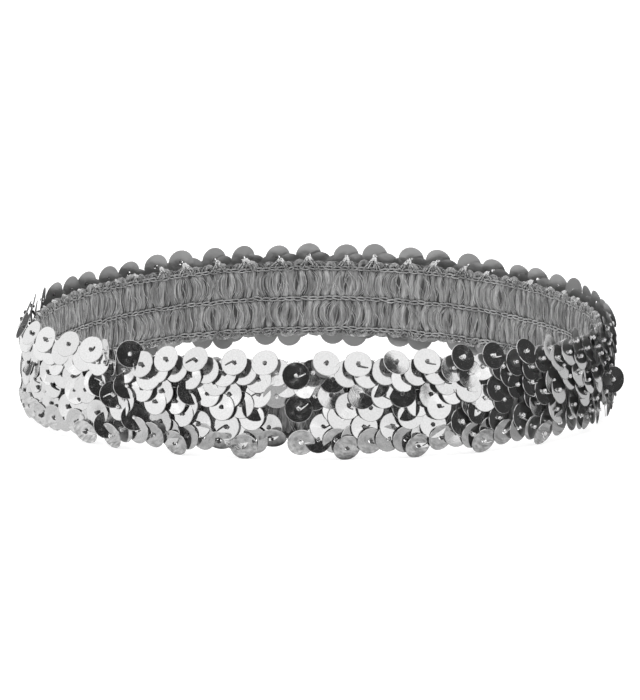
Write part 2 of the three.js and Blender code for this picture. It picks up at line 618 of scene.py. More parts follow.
def grey(value: float) -> tuple[float, float, float, float]:
    """A grey colour."""
    return (value, value, value, 1.0)


def fine_noise() -> bpy.types.NodeTree:
    """The shared effect of grain and fibres: noise on Object coordinates, drawn out along the height.

    Returns:
        The group, built once.
    """
    name = "fine_noise"
    if name in bpy.data.node_groups:
        return bpy.data.node_groups[name]
    tree = bpy.data.node_groups.new(name, "ShaderNodeTree")
    for title in ("Per metre", "Upright", "Detail", "Contrast"):
        tree.interface.new_socket(title, in_out="INPUT", socket_type="NodeSocketFloat")
    tree.interface.new_socket("Height", in_out="OUTPUT", socket_type="NodeSocketFloat")
    nodes = Nodes(tree)
    given = nodes.add("NodeGroupInput").outputs
    place = nodes.add("ShaderNodeTexCoord").outputs["Object"]
    scale = nodes.add("ShaderNodeCombineXYZ", {"X": 1.0, "Y": 1.0, "Z": given["Upright"]}).outputs["Vector"]
    drawn = nodes.add("ShaderNodeVectorMath", {0: place, 1: scale}, operation="MULTIPLY").outputs["Vector"]
    fineness = {"Vector": drawn, "Scale": given["Per metre"], "Detail": given["Detail"]}
    noise = nodes.add("ShaderNodeTexNoise", fineness).outputs["Fac"]
    usual = {"Value": noise, "From Min": 0.28, "From Max": 0.72}
    spread = nodes.add("ShaderNodeMapRange", usual).outputs["Result"]
    power = nodes.add("ShaderNodeMath", {0: spread, 1: given["Contrast"]}, operation="POWER")
    nodes.add("NodeGroupOutput", {"Height": power.outputs["Value"]})
    return tree


@dataclass(frozen=True)
class YarnFinish:
    """Soft gathered yarn: fine upright fibres in lighter patches, with painted shade in its crevices."""

    name: str
    dark: float = 0.05
    light: float = 0.50
    fibres: float = 2600.0
    upright: float = 0.16
    depth: float = 0.12
    patches: float = 420.0
    patch_share: float = 0.35
    # Painted shade: the crown is how light the colour stays where no shade is painted, and the depth how
    # much the painted shade layer takes off.
    crown: float = 0.78
    crevice_shade: float = 0.54

    def material(self) -> Material:
        """Builds the material.

        Returns:
            The finished material.
        """
        wiring = Wiring(self.name)
        streaks = wiring.noise(self.fibres, self.upright, 4.0)
        share = wiring.maths("MULTIPLY_ADD", wiring.noise(self.patches, 0.5), self.patch_share, streaks)
        toned = wiring.maths("MULTIPLY", share, wiring.attribute("tone"))
        # Painted shade: the painted shade layer darkens the yarn's colour down from the crown's share.
        lit = wiring.maths("MULTIPLY_ADD", wiring.attribute("crevice"), -self.crevice_shade, self.crown)
        colour = wiring.mixed(wiring.maths("MULTIPLY", toned, lit), grey(self.dark), grey(self.light))
        return wiring.finished({
            "Base Color": colour,
            "Roughness": 0.92,
            "Sheen Weight": 0.35,
            "Sheen Roughness": 0.5,
            "Normal": wiring.bump(streaks, 0.9, self.depth),
        })


@dataclass(frozen=True)
class FoilFinish:
    """Silver sequin film: mirror-like in front with a little grain, duller and darker behind."""

    name: str
    face: float = 0.86
    back: float = 0.39
    worn_share: float = 0.80
    roughness: float = 0.085
    scuffed: float = 0.15
    back_dullness: float = 0.20
    back_paint: float = 0.28
    grain: float = 0.05

    def material(self) -> Material:
        """Builds the material.

        Returns:
            The finished material.
        """
        wiring = Wiring(self.name)
        grain = wiring.noise(3800.0, detail=3.0)
        scuffs = wiring.noise(700.0, detail=4.0, contrast=2.6)
        backing = wiring.attribute("backing")
        worn = wiring.maths("MULTIPLY", grain, 0.7)
        face = wiring.mixed(worn, grey(self.face), grey(self.face * self.worn_share))
        colour = wiring.mixed(backing, face, grey(self.back))
        tones = dict.fromkeys(("Red", "Green", "Blue"), wiring.attribute("tone"))
        tone = wiring.add("ShaderNodeCombineColor", tones).outputs["Color"]
        dull = wiring.maths("MULTIPLY_ADD", scuffs, self.scuffed, self.roughness)
        return wiring.finished({
            "Base Color": wiring.mixed(1.0, colour, tone, "MULTIPLY"),
            "Roughness": wiring.maths("MULTIPLY_ADD", backing, self.back_dullness, dull),
            "Metallic": wiring.maths("MULTIPLY_ADD", backing, -self.back_paint, 1.0),
            "Normal": wiring.bump(grain, self.grain, 0.05),
        })


@dataclass(frozen=True)
class ClearThreadFinish:
    """Clear nylon thread, slightly grey, with a gloss, and painted shade where it lies in a crevice."""

    name: str
    crevice_shade: float = 0.7

    def material(self) -> Material:
        """Builds the material.

        Returns:
            The finished material.
        """
        wiring = Wiring(self.name)
        streaks = wiring.noise(3000.0, detail=1.0)
        toned = wiring.maths("MULTIPLY", streaks, wiring.attribute("tone"))
        # Painted shade: the painted shade layer darkens the thread, which leaves the arches' crowns as a
        # painted highlight.
        lit = wiring.maths("MULTIPLY_ADD", wiring.attribute("crevice"), -self.crevice_shade, 1.0)
        return wiring.finished({
            "Base Color": wiring.mixed(wiring.maths("MULTIPLY", toned, lit), grey(0.02), grey(0.95)),
            "Roughness": 0.07,
            "Transmission Weight": 0.35,
            "Specular IOR Level": 0.9,
            "IOR": 1.5,
        })


@dataclass(frozen=True)
class FloorFinish:
    """A plain pale studio floor."""

    name: str
    shade: float = 0.80
    mottled: float = 0.985
    glow: float = 0.45

    def material(self) -> Material:
        """Builds the material.

        Returns:
            The finished material.
        """
        wiring = Wiring(self.name)
        colour = wiring.mixed(wiring.noise(6.0), grey(self.shade), grey(self.shade * self.mottled))
        return wiring.finished({
            "Base Color": colour,
            "Roughness": 0.95,
            "Emission Color": grey(1.0),
            "Emission Strength": self.glow,
        })


@dataclass(frozen=True)
class LampFinish:
    """A card that glows in specks, evenly or by its tone."""

    name: str
    glow: float = 0.0
    specks: float = 1700.0
    contrast: float = 0.7
    graded: bool = False

    def material(self) -> Material:
        """Builds the material.

        Returns:
            The finished material.
        """
        wiring = Wiring(self.name)
        specks = wiring.noise(self.specks)
        bright = wiring.maths("MULTIPLY_ADD", specks, self.contrast, 1 - self.contrast / 2)
        if self.graded:
            bright = wiring.maths("MULTIPLY", bright, wiring.attribute("tone"))
        return wiring.finished({
            "Base Color": grey(0.004),
            "Roughness": 1.0,
            "Emission Color": wiring.mixed(bright, grey(0.0), grey(1.0)),
            "Emission Strength": self.glow,
        })


# A cross yarn's bow and sway for each of its shapes, and how full it is at shares of its half height.
YARN_BENDS = ((-1.15, 0.1), (-0.6, -0.22), (0.0, 0.3), (0.6, -0.2), (1.15, 0.12))
YARN_FILL = ((-1.0, 0.42), (-0.8, 0.78), (-0.42, 0.97), (0.0, 1.0), (0.42, 0.97), (0.8, 0.78), (1.0, 0.42))
# How often around the loop the yarns' bend swings, in four waves together.
BEND_WAVES = (13, 29, 41, 67)


@dataclass
class ElasticRibbon:
    """The gathered ribbon: cross yarns in two puffy channels, three chain-stitch lines, looped edges."""

    plan: LoopPlan
    low: float
    high: float
    gathers: int = 208
    ground_margin: float = 0.75
    ground_levels: int = 15
    ground_ripple: float = 0.16
    ground_thickness: float = 0.3
    ground_tone: float = 0.55
    puff: float = 0.74
    yarn_half_width: float = 1.02
    yarn_sides: int = 7
    chain_yarn: float = 0.18
    chain_half_width: float = 0.34
    edge_loop_rise: float = 1.15
    fibre: float = 0.06
    inner_fibres: int = 5
    outer_fibres: int = 3
    seed: int = 7

    @property
    def rows(self) -> tuple[float, float, float]:
        """The heights of the three stitch lines."""
        bottom, top = self.low + BEYOND_ROWS, self.high - BEYOND_ROWS
        return bottom, (bottom + top) / 2, top

    @cached_property
    def chance(self) -> np.random.Generator:
        """The seeded random numbers, which the pieces draw one after another."""
        return np.random.default_rng(self.seed)

    @property
    def half_channel(self) -> float:
        """Half the height of a channel between two stitch lines."""
        return (self.rows[1] - self.rows[0]) / 2

    def ground(self) -> Object:
        """The thin sheet in the ribbon's middle, that the yarns are knitted to.

        Returns:
            The sheet, rippled with the gathers.
        """
        columns = 4 * self.gathers
        places = self.plan.places(np.arange(columns) / columns)
        low, high = self.low + self.ground_margin, self.high - self.ground_margin
        ripple = self.ground_ripple * np.cos(2 * math.pi * np.arange(columns) / 4)
        heights = np.linspace(low, high, self.ground_levels)
        rings = [places.stand(RIBBON_THICKNESS / 2 + ripple, height) for height in heights]
        levels = range(self.ground_levels - 1)
        faces = quads_between(((level, level + 1) for level in levels), columns)
        made = Shape(np.concatenate(rings), faces).as_object("ribbon_ground")
        write_layer(made.data, "tone", np.full(len(made.data.vertices), self.ground_tone))
        solid = made.modifiers.new("Thickness", "SOLIDIFY")
        solid.thickness = self.ground_thickness * MM
        solid.offset = 0.0
        return made

    @staticmethod
    def _bent(bend: tuple[float, float], share: float) -> float:
        """How far aside a yarn lies, by its part of the way up from -1 to 1."""
        bow, sway = bend
        return bow * (math.cos(math.pi * share / 2) - 0.45) + sway * math.sin(math.pi * share)

    def _bend_of(self, ways: np.ndarray, channel: int) -> np.ndarray:
        """Which bend the yarns take, so that neighbours bend alike.

        Args:
            ways: Parts of the way around.
            channel: The lower channel, 0, or the upper one, 1.

        Returns:
            A number of a bend for each.
        """
        phases = np.random.default_rng(self.seed + channel).uniform(0, 2 * math.pi, 4)
        swells = [np.sin(2 * math.pi * turns * ways + phase) for turns, phase in zip(BEND_WAVES, phases)]
        middle = (len(YARN_BENDS) - 1) / 2
        return np.clip(np.rint(middle + 1.25 * np.sum(swells, axis=0)), 0, 2 * middle).astype(int)

    def _float(self, bend: tuple[float, float]) -> Shape:
        """One cross yarn bundle, narrow at both stitch lines and puffy between.

        Args:
            bend: Its bow and sway.

        Returns:
            Its shape, with painted shade at its sides.
        """
        half = self.half_channel - 0.38
        heights = [half * share for share, _ in YARN_FILL]
        path = [(0.0, self._bent(bend, z / half), z) for z in heights]
        radii = [(self.yarn_half_width * (0.7 + 0.3 * fill), self.puff * fill) for _, fill in YARN_FILL]
        made = tube_along(path, radii, self.yarn_sides)
        # Painted shade: each bundle's sides, where it meets its neighbours, are painted darker.
        made.crevice = (np.cos(circle(self.yarn_sides)) ** 2).tolist() * len(path)
        return made

    def _fibre(self, bend: tuple[float, float]) -> Shape:
        """One loose fibre that lies over a bundle's inner face and bends with it.

        Args:
            bend: The bundle's bow and sway.

        Returns:
            Its shape.
        """
        path, radii = [], []
        for s in np.linspace(-1, 1, 8):
            crown = (self.puff - 0.27) * math.cos(math.pi * s / 2) ** 0.6 if abs(s) < 1 else 0.0
            stray = 0.08 * math.sin(7 * s + 9 * bend[0])
            path.append((-(0.3 + crown), self._bent(bend, s) * 1.15 + stray, (self.half_channel - 0.3) * s))
            radii.append((self.fibre * (0.7 + 0.5 * (1 - s * s)),) * 2)
        return tube_along(path, radii, 3)

    def _chain_link(self) -> Shape:
        """One double-legged stitch of the chain.

        Returns:
            Its shape, up one leg and down the other.
        """
        wide, pitch = self.chain_half_width, self.plan.length / self.gathers
        leg = [(-0.06, 0.14, 0.85), (-0.16, 0.5, 1.0), (-0.10, 0.88, 0.7)]
        path = [
            (0.14, -0.12 * pitch, 0.0),
            *[(x, y * pitch, z * wide) for x, y, z in leg],
            (0.02, 1.16 * pitch, 0.0),
            *[(x, y * pitch, -z * wide) for x, y, z in reversed(leg)],
            (0.14, -0.12 * pitch, -0.05),
        ]
        return tube_along(path, [(self.chain_yarn, self.chain_yarn)] * len(path), 4)

    @staticmethod
    def _edge_loop(rise: float, lean: float) -> Shape:
        """One soft loop of yarn beyond an outer stitch line.

        Args:
            rise: How far it stands beyond the line.
            lean: How far its crown lies aside.

        Returns:
            Its shape.
        """
        path, radii = [], []
        for angle in np.linspace(-0.5 * math.pi, 0.5 * math.pi, 7):
            up, side = math.cos(angle), math.sin(angle)
            path.append((0.06 * up, 1.12 * side + lean * up, rise * up))
            radii.append((0.34 + 0.18 * up, 0.42 + 0.12 * up))
        return tube_along(path, radii, 6)

    def _edge_fibre(self, sway: float) -> Shape:
        """One fibre that strays over an edge loop.

        Args:
            sway: How far it sways off its arch, in millimetres.

        Returns:
            The fibre's shape.
        """
        shares = np.linspace(-1, 1, 6)
        path = [
            (-0.42 + 0.12 * s, 1.25 * s + sway * math.cos(3 * s), 1.45 * (1 - s * s) + sway * s)
            for s in shares
        ]
        return tube_along(path, [(self.fibre, self.fibre)] * len(path), 3)

    def _spread(self, count: int, stray: float) -> tuple[np.ndarray, Places]:
        """Even parts of the way around, each astray by up to a share of the step, and their places."""
        ways = (np.arange(count) + self.chance.uniform(-stray, stray, count)) / count
        return ways, self.plan.places(ways)

    def floats(self) -> Copies:
        """The bundles in both channels.

        Returns:
            Their places.
        """
        parts, chance = [], self.chance
        count = self.gathers
        for channel in (0, 1):
            ways, places = self._spread(count, 0.16)
            depths, widths = chance.uniform(0.82, 1.08, count), chance.uniform(0.85, 1.15, count)
            tilts, rolls = chance.normal(0, 0.12, count), chance.normal(0, 0.05, count)
            turns = places.turns(tilt=tilts, roll=rolls)
            points = places.stand(RIBBON_THICKNESS / 2, self.rows[channel] + self.half_channel)
            tones = chance.uniform(0.5, 1.05, count)
            sizes = np.column_stack([depths, widths, np.ones(count)])
            parts.append(Copies(points, turns, tones, sizes, self._bend_of(ways, channel)))
        return Copies.joined(parts)

    def fibres(self, each: int, outer: bool) -> Copies:
        """The loose fibres over the bundles.

        Args:
            each: How many there are to a bundle.
            outer: Whether they lie on the outer face.

        Returns:
            Their places in both channels.
        """
        parts, chance = [], self.chance
        count = each * self.gathers
        facing = math.pi if outer else 0.0
        for channel in (0, 1):
            ways, places = self._spread(count, 0.5)
            lift = chance.uniform(-0.04, 0.08, count) * (1 if outer else -1)
            points = places.stand(RIBBON_THICKNESS / 2 + lift, self.rows[channel] + self.half_channel)
            tilts, rolls = facing + chance.normal(0, 0.15, count), chance.normal(0, 0.11, count)
            turns = places.turns(tilt=tilts, roll=rolls)
            tones = chance.uniform(0.3, 1.8, count)
            widths, heights = chance.uniform(0.6, 1.35, count), chance.uniform(0.9, 1.0, count)
            sizes = np.column_stack([np.ones(count), widths, heights])
            parts.append(Copies(points, turns, tones, sizes, self._bend_of(ways, channel)))
        return Copies.joined(parts)

    def chains(self) -> Copies:
        """The stitches of all three lines.

        Returns:
            Their places.
        """
        parts, chance = [], self.chance
        count = self.gathers
        for row in self.rows:
            _, places = self._spread(count, 0.08)
            points = places.stand(0.3, row + chance.normal(0, 0.05, count))
            turns = places.turns(roll=chance.normal(0, 0.09, count))
            tones = chance.uniform(0.9, 1.6, count)
            parts.append(Copies(points, turns, tones, chance.uniform(0.92, 1.08, count)))
        return Copies.joined(parts)

    def edge_copies(self, each: int, lift: float) -> Copies:
        """Places along both edges.

        Args:
            each: How many there are to a pair of gathers.
            lift: How far beyond the outer stitch line they stand.

        Returns:
            The copies along the upper edge and, turned over, the lower one.
        """
        parts, chance = [], self.chance
        count = each * self.gathers // 2
        for side, row, over in ((1, self.rows[2], 0.0), (-1, self.rows[0], math.pi)):
            _, places = self._spread(count, 0.22)
            points = places.stand(0.62 + chance.normal(0, 0.08, count), row + side * lift)
            tilts, rolls = chance.normal(0, 0.2, count), over + chance.normal(0, 0.1, count)
            turns = places.turns(tilt=tilts, roll=rolls)
            tones, sizes = chance.uniform(0.45, 1.0, count), chance.uniform(0.8, 1.1, count)
            parts.append(Copies(points, turns, tones, sizes, chance.integers(0, 3, count)))
        return Copies.joined(parts)

    def make(self) -> dict[str, Object]:
        """Builds every piece of the ribbon.

        Returns:
            The pieces by name.
        """
        yarn = YarnFinish("soft_yarn", light=0.55).material()
        stitch = YarnFinish("stitching_yarn", 0.04, 0.42, fibres=5200.0, upright=1.0, depth=0.05).material()
        fluff = YarnFinish("loose_fibres", 0.10, 0.55, fibres=1500.0, upright=0.2, depth=0.02).material()
        ground = self.ground()
        ground.data.materials.append(YarnFinish("ribbon_ground_yarn", 0.03, 0.10).material())
        bundles = [self._float(bend) for bend in YARN_BENDS]
        strays = [self._fibre(bend) for bend in YARN_BENDS]
        rise = self.edge_loop_rise
        loops = [self._edge_loop(rise * share, lean) for share, lean in ((1, 0), (0.8, 0.2), (0.9, -0.2))]
        wisps = [self._edge_fibre(sway) for sway in (0.1, -0.25, 0.3)]
        repeated = (
            ("ribbon_floats", bundles, self.floats(), yarn),
            ("ribbon_fibres_inner", strays, self.fibres(self.inner_fibres, False), fluff),
            ("ribbon_fibres_outer", strays, self.fibres(self.outer_fibres, True), fluff),
            ("ribbon_chain_stitches", [self._chain_link()], self.chains(), stitch),
            ("ribbon_edge_loops", loops, self.edge_copies(1, 0.3), yarn),
            ("ribbon_edge_fibres", wisps, self.edge_copies(5, 0.15), fluff),
        )
        pieces = {}
        for name, shapes, copies, finish in repeated:
            pieces[name] = Repeater(shapes).make(name, copies, finish)
        for piece in [ground, *pieces.values()]:
            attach(piece, BODY)
        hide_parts(RIBBON_NODE)
        flat = ((self.high - self.low) * MM, self.plan.length * MM)
        return {"ribbon_ground": ground} | pieces


@dataclass(frozen=True)
class SewingRow:
    """One strand: its node, where its repeat starts, and each sequin's place in the repeat."""

    name: str
    node: str
    row: int
    start: float
    seed: int
    stitches: tuple[tuple[float, float], ...]


TOP_STITCHES = (
    (0, 1.74), (1.5, -1.87), (4.57, -0.52), (6.69, 1.52), (8.68, -0.91), (10.79, -2.95), (12.5, -0.33)
)
MID_STITCHES = (
    (0, 1.89), (0.85, -1.15), (1.97, -3.0), (3.61, -0.5), (6.45, 1.46), (8.2, -1.09), (11.33, 1.7)
)
LOW_STITCHES = (
    (0, -1.02), (2.52, -3.1), (3.95, -0.37), (6.13, 1.8), (7.48, -1.24), (11.3, -0.59), (12.24, 2.02)
)
# The repeat's length in the stitches' own measure, which is close to millimetres.
DRAWN_REPEAT = 14.96

SEWING_ROWS = (
    SewingRow("sequins_top", "sequin_strand_top", 2, 1.83, 21, TOP_STITCHES),
    SewingRow("sequins_mid", "sequin_strand_mid", 1, 2.97, 22, MID_STITCHES),
    SewingRow("sequins_bottom", "sequin_strand_bottom", 0, 3.88, 23, LOW_STITCHES),
)


@dataclass(frozen=True)
class TurnedSequin:
    """A sequin out of its strand's order: where it is, its angles in degrees, and how far it stands off."""

    row: int
    way: float
    height: float
    tilt: float
    lean: float
    out: float = 0.0


TURNED_ROWS = (
    (2, -0.0085, 18.2, 1.0, 16.0),
    (1, -0.0070, 11.6, 2.0, 16.0),
    (1, 0.0470, 14.4, -9.0, 16.0),
    (1, 0.0500, 11.5, -6.0, 15.0),
    (1, -0.1160, 13.4, 33.0, 16.0),
    (1, -0.1220, 14.6, 36.0, 15.0),
    (0, -0.1180, 7.0, 33.0, 15.0),
    (1, -0.1080, 14.0, 30.0, 15.0),
    (2, -0.1032, 21.4, 34.0, 15.0, 0.3),
    (2, -0.1147, 19.2, -38.0, 4.0, 0.4),
    (2, -0.1200, 21.1, -34.0, 4.0, 0.2),
    (2, 0.0914, 19.0, -7.0, 4.0, -0.5),
    (2, 0.1349, 21.3, 20.0, 14.0),
    (2, 0.1565, 21.5, 21.0, 10.0),
    (2, 0.1738, 21.2, 16.0, 8.0),
    (1, -0.0210, 14.2, 9.0, -14.0),
    (0, -0.0233, 5.0, 4.0, -40.0),
    (0, -0.0519, 4.1, 2.0, -40.0),
    (1, -0.0715, 13.6, 20.0, 16.0),
    (0, -0.1000, 8.7, 28.0, 16.0),
    (1, -0.0288, 11.1, 7.5, 14.0),
    (1, 0.0018, 11.7, -1.0, 14.0),
    (0, 0.0010, 6.0, -1.0, 13.0),
    (1, 0.2046, 9.6, -47.0, 5.0, 0.9),
)
TURNED_SEQUINS = tuple(TurnedSequin(*row) for row in TURNED_ROWS)


# Where along the loop the sewing changes. The last two are for both sides, by the way from the front.
LEFT_BEND = Ramp(-0.12, -0.135)
BACK_LEFT_START = Ramp(-0.285, -0.30)
BACK_LEFT_END = Ramp(-0.43, -0.445)
FRONT_RIGHT = Ramp(0.05, 0.10)
RIGHT_BEND = Ramp(0.12, 0.16)
RIGHT_BEND_TOP = Ramp(0.13, 0.16)
EITHER_BEND = Ramp(0.13, 0.17)
EITHER_BACK = Ramp(0.20, 0.32)


@dataclass
class SequinStrands:
    """The three zigzag strands, and the clear thread that holds them.

    From its start the sewing repeats around the loop as far as turn_back_way. From there to mirror_way,
    the fold, it is the mirror image of what lies beyond the fold. Fields named way, from or patch are
    parts of the way around, and the strays are how far the sequins vary.
    """

    plan: LoopPlan
    rows: tuple[float, float, float]
    repeats: int = 26
    radius: float = 3.0
    disc_sides: int = 22
    hole: float = 0.5
    film: float = 0.12
    cup: float = 0.12
    rim: float = 0.10
    offset: float = 3.05
    scale_tilt: float = math.radians(12.5)
    scale_lean: float = math.radians(7)
    side_lean: float = math.radians(8)
    top_lean: float = math.radians(26)
    bottom_lean: float = math.radians(20)
    mirror_way: float = -0.0117
    mirror_half_width: float = 0.011
    before_fold: float = 1.4
    past_fold: float = 0.2
    # Where the knots get a painted highlight, painted much lighter: from the first of these ways on, and in
    # the patch around the second.
    dark_from: float = 0.07
    dark_patch: float = -0.112
    dark_patch_half: float = 0.013
    turn_back_way: float = -0.125
    blend: float = 0.008
    lowest_reach: float = 3.2
    drawn_up: float = 1.7
    drawn_up_back: float = 0.1
    hanging_below: float = -1.1
    behind_low: float = -1.5
    behind_lift: float = 1.3
    behind_top_lift: float = 0.6
    odd_share: float = 0.10
    odd_lean: float = 0.12
    ridge_half: float = 0.012
    ridge_rise: float = 0.9
    lean_lift: float = 0.5
    stray_along: float = 0.12
    stray_up: float = 0.10
    stray_out: float = 0.04
    stray_tilt: float = 0.04
    stray_lean: float = 0.055
    clearance: float = 0.03
    arch_reach: float = 1.15

    def disc(self) -> Shape:
        """One sequin: a very shallow cup of film with a narrow turned rim and a hole.

        Returns:
            Its shape, with its rims sharp and its back marked.
        """
        sides, angles = self.disc_sides, circle(self.disc_sides)
        rings = (
            (self.hole, 0.0),
            (self.radius - self.rim, self.cup),
            (self.radius, self.cup - self.film * 0.8),
        )
        rims = [
            np.column_stack([np.full(sides, x), radius * np.sin(angles), radius * np.cos(angles)])
            for radius, x in rings
        ]
        quads = quads_between(((0, 1), (1, 2), (2, 0)), sides)
        sharp = [(a, b) for a, b, *_ in quads]
        return Shape(np.concatenate(rims), turned_over(quads), sharp, np.repeat((0.0, 0.35, 1.0), sides))

    @staticmethod
    def knot(lift: float, reach: float, run: float) -> Shape:
        """The thread at a sequin's hole: a tight bead, and its run towards the next sequin.

        Args:
            lift: How far the bead stands off the film.
            reach: How wide it is.
            run: How long the run is, as a share of the way to the next sequin.

        Returns:
            The thread's shape.
        """
        path = [
            (-0.30, 0.0, 0.0),
            (0.18, -0.10 * reach, -0.06),
            (0.14 + lift, -0.16 * reach, 0.20 * reach),
            (0.20 + lift, 0.12 * reach, 0.26 * reach),
            (0.16 + lift, 0.24 * reach, -0.02),
            (0.20, 0.06 * reach, -0.22 * reach),
            (0.22, 0.16 * reach + 0.6 * run, -0.30 * reach),
            (0.22, 0.16 * reach + 1.3 * run, -0.28),
            (0.10, 0.16 * reach + 1.95 * run, -0.16),
        ]
        return tube_along(path, [(0.27, 0.22)] * 6 + [(0.13, 0.12)] * 3, 5)

    def sides_at(self, ways: np.ndarray) -> np.ndarray:
        """Which way the sequins overlap.

        Args:
            ways: Parts of the way around, from -0.5 to 0.5.

        Returns:
            1 where their faces turn the way the loop runs, -1 where they turn back.
        """
        turned, again = (
            Ramp(way - self.blend, way + self.blend)(ways) for way in (self.turn_back_way, self.mirror_way)
        )
        return 1 - 2 * turned + 2 * again

    def _sewn(self, row: SewingRow) -> tuple[np.ndarray, np.ndarray]:
        """Where each sequin of a strand is sewn: by its repeat, and mirrored between the two folds.

        Args:
            row: The strand.

        Returns:
            The parts of the way around, from -0.5 to 0.5, and the distances above the row.
        """
        length = self.plan.length
        unit = length / self.repeats
        fold, turn_back = self.mirror_way * length, self.turn_back_way * length
        found = []
        for repeat in range(-1, self.repeats + 1):
            for along, above in row.stitches:
                place = row.start + repeat * unit + along * unit / DRAWN_REPEAT
                if fold - self.past_fold < place < length * (1 + self.turn_back_way):
                    found.append((place, above))
                mirrored = 2 * fold - place
                if turn_back < mirrored < fold - self.before_fold:
                    found.append((mirrored, above))
        sewn = np.array(found)
        ways = centred(sewn[:, 0] / length)
        order = np.argsort(ways)
        return ways[order], sewn[order, 1]

    def _drawn_in(self, row: SewingRow, ways: np.ndarray, above: np.ndarray) -> np.ndarray:
        """Draws the outer rows' sequins up behind, and the lowest ones up on both bends.

        Args:
            row: The strand.
            ways: Parts of the way around.
            above: How far the sequins are sewn above the row.

        Returns:
            How far they end above it.
        """
        behind = 0.5 - np.abs(ways) < self.drawn_up_back
        if row.row == 0:
            hanging = above < self.hanging_below
            lifted = np.where(hanging, np.maximum(above, self.behind_low), above + self.behind_lift)
            above = np.where(behind, lifted, above)
            above = np.maximum(above, self.drawn_up * EITHER_BEND(np.abs(ways)) - self.lowest_reach)
        if row.row == 2:
            above = np.where(behind, above + self.behind_top_lift, above)
        return above

    def _leans(self, ways: np.ndarray, heights: np.ndarray) -> np.ndarray:
        """How far the faces turn upwards: over both edges, and a little between.

        Args:
            ways: Parts of the way around.
            heights: Heights above the floor.

        Returns:
            The angles in radians.
        """
        top, bottom = self.rows[2], self.rows[0]
        rise = Ramp(top - 1.9, top + 1.2)(heights)
        rise = rise * (1 - 0.4 * FRONT_RIGHT(ways) - 0.35 * RIGHT_BEND_TOP(ways))
        fall = Ramp(bottom + 0.6, bottom - 2.4)(heights)
        lean = self.scale_lean * (1 - 0.6 * LEFT_BEND(ways)) + self.side_lean * RIGHT_BEND(ways)
        upright = 1 - 0.8 * EITHER_BACK(np.abs(ways))
        return (lean * (1 - fall) + self.top_lean * rise) * upright - self.bottom_lean * fall

    def copies(self, row: SewingRow) -> Copies:
        """The places of one strand's sequins.

        Args:
            row: The strand.

        Returns:
            The copies.
        """
        chance = np.random.default_rng(row.seed)
        ways, above = self._sewn(row)
        count = len(ways)
        above = self._drawn_in(row, ways, above)
        ways = ways + chance.normal(0, self.stray_along, count) / self.plan.length
        heights = self.rows[row.row] + above + chance.normal(0, self.stray_up, count)
        sides = self.sides_at(ways)
        odd = chance.random(count) < self.odd_share
        back_left = BACK_LEFT_START(ways) * (1 - BACK_LEFT_END(ways))
        scale_tilt = self.scale_tilt * (1 - 0.35 * LEFT_BEND(ways) - 1.6 * back_left)
        tilt = sides * scale_tilt * np.where(odd, 0.0, 1.0) + chance.normal(0, self.stray_tilt, count)
        loose = 1 + EITHER_BACK(np.abs(ways))
        lean = self._leans(ways, heights) + chance.normal(0, self.stray_lean, count) * loose
        lean = lean + np.where(odd, self.odd_lean, 0.0)
        stand_off = np.zeros(count)
        for turned in TURNED_SEQUINS:
            if turned.row == row.row:
                away = np.hypot((ways - turned.way) * self.plan.length, heights - turned.height)
                nearest = int(np.argmin(away))
                tilt[nearest], lean[nearest] = math.radians(turned.tilt), math.radians(turned.lean)
                stand_off[nearest] = turned.out
        lowest = self.radius * np.cos(lean) + (self.cup + 0.02) * np.abs(np.sin(lean)) + self.clearance
        heights = np.maximum(heights, lowest)
        near_fold = np.exp(-(((ways - self.mirror_way) / self.ridge_half) ** 2))
        ridge = self.ridge_rise * (1 - sides * sides) * near_fold
        out = self.offset + ridge + self.lean_lift * np.abs(np.sin(lean)) + stand_off
        out = out + chance.normal(0, self.stray_out, count)
        places = self.plan.places(ways)
        points, turns = places.stand(out, heights), places.turns(tilt, lean)
        return Copies(points, turns, chance.uniform(0.90, 1.0, count))

    def knots(self, copies: Copies, seed: int) -> Copies:
        """The thread at the holes of one strand.

        Args:
            copies: The strand's sequins.
            seed: The seed of the small differences.

        Returns:
            One thread for each sequin, turned towards the next one, with painted shade and highlight: dark
            over bright film, lighter where the film is dark.
        """
        chance = np.random.default_rng(seed)
        count = len(copies.points)
        ways = self.plan.ways_of(copies.points)
        turns = np.empty((count, 3))
        for i, side in enumerate(self.sides_at(ways)):
            flip = math.pi if side < 0 else 0.0
            own = Matrix.Rotation(flip + chance.normal(0, 0.35), 3, "X")
            turns[i] = (turn_matrix(copies.turns[i]) @ own).to_euler("XYZ")
        # Painted light and shade: the same clear thread is painted dark over bright film and much lighter
        # where the film is dark, standing in for its glints.
        folded = np.abs(ways - self.mirror_way) < self.mirror_half_width
        patch = np.abs(ways - self.dark_patch) < self.dark_patch_half
        dark = (ways > self.dark_from) | folded | patch
        tones = chance.uniform(0.0, 0.4, count) + np.where(dark, 1.8, 0.0)
        sizes, variants = chance.uniform(0.9, 1.15, count), chance.integers(0, 4, count)
        return Copies(copies.points, turns, tones, sizes, variants)

    def edge_arches(self, top: Copies, bottom: Copies, seed: int) -> Copies:
        """The clear thread that passes from an edge's outermost sequins over the ribbon's edge.

        Args:
            top: The top strand's sequins.
            bottom: The bottom strand's.
            seed: The seed of the small differences.

        Returns:
            One arch at each outermost sequin, its crown at the sequin's hole.
        """
        chance = np.random.default_rng(seed)
        parts = []
        for side, row, over, strand in ((1, self.rows[2], 0.0, top), (-1, self.rows[0], math.pi, bottom)):
            reach = side * (strand.points[:, 2] - row)
            outermost = reach > self.arch_reach
            places = self.plan.places(self.plan.ways_of(strand.points[outermost]))
            count = len(places.points)
            depths, widths = chance.uniform(0.9, 1.1, count), chance.uniform(0.8, 1.1, count)
            sizes = np.clip(np.column_stack([depths, widths, reach[outermost] / 1.7]), 0.7, 1.35)
            turns = places.turns(roll=over + chance.normal(0, 0.08, count))
            parts.append(Copies(places.stand(0.35, row), turns, chance.uniform(1.8, 2.8, count), sizes))
        return Copies.joined(parts)

